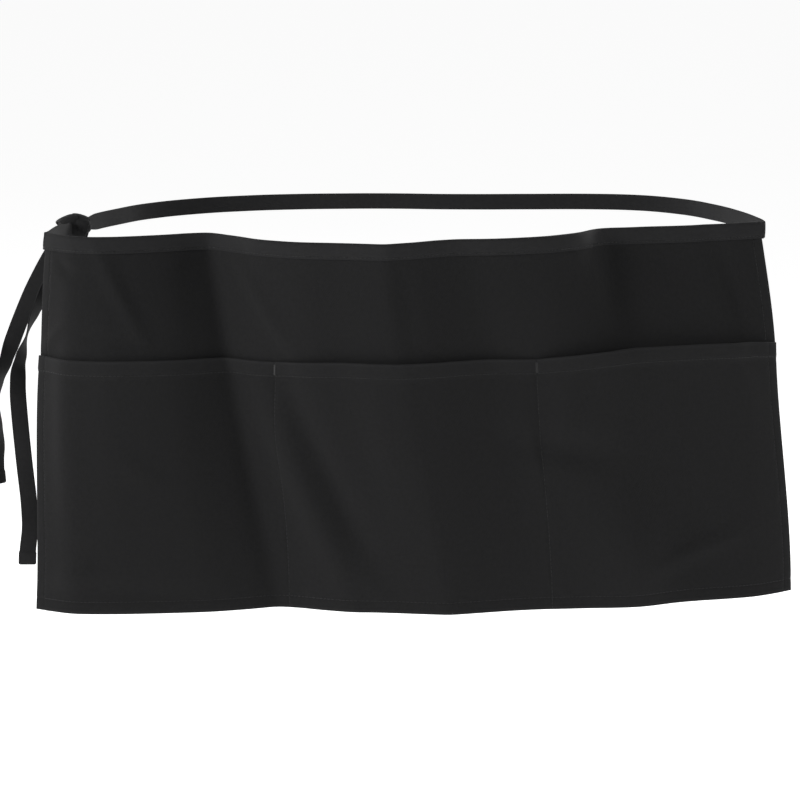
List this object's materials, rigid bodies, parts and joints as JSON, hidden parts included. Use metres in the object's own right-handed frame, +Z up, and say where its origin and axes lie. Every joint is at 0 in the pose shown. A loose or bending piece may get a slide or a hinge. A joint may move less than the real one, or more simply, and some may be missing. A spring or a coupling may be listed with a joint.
{
  "type": "waist apron",
  "caption": "Short waist apron of plain dark twill with three open pockets, a narrow waistband and long ties knotted behind the left side.",
  "frame": {"origin": "middle of the waist loop, level with the middle of the waistband", "axes": "+Z up, +X to the viewer's right across the apron's width, and the front of the apron faces -Y"},
  "size_m": [0.6153, 0.2972, 0.2822],
  "materials": {
    "twill": "matte cotton twill",
    "tape": "matte folded twill strip"
  },
  "bodies": {
    "root": {"body_panel": "twill", "pocket_panel": "twill", "waistband": "tape", "back_tie": "tape", "left_tie": "tape", "tie_knot": "tape", "outer_tail": "tape", "inner_tail": "tape"}
  },
  "joints": []
}
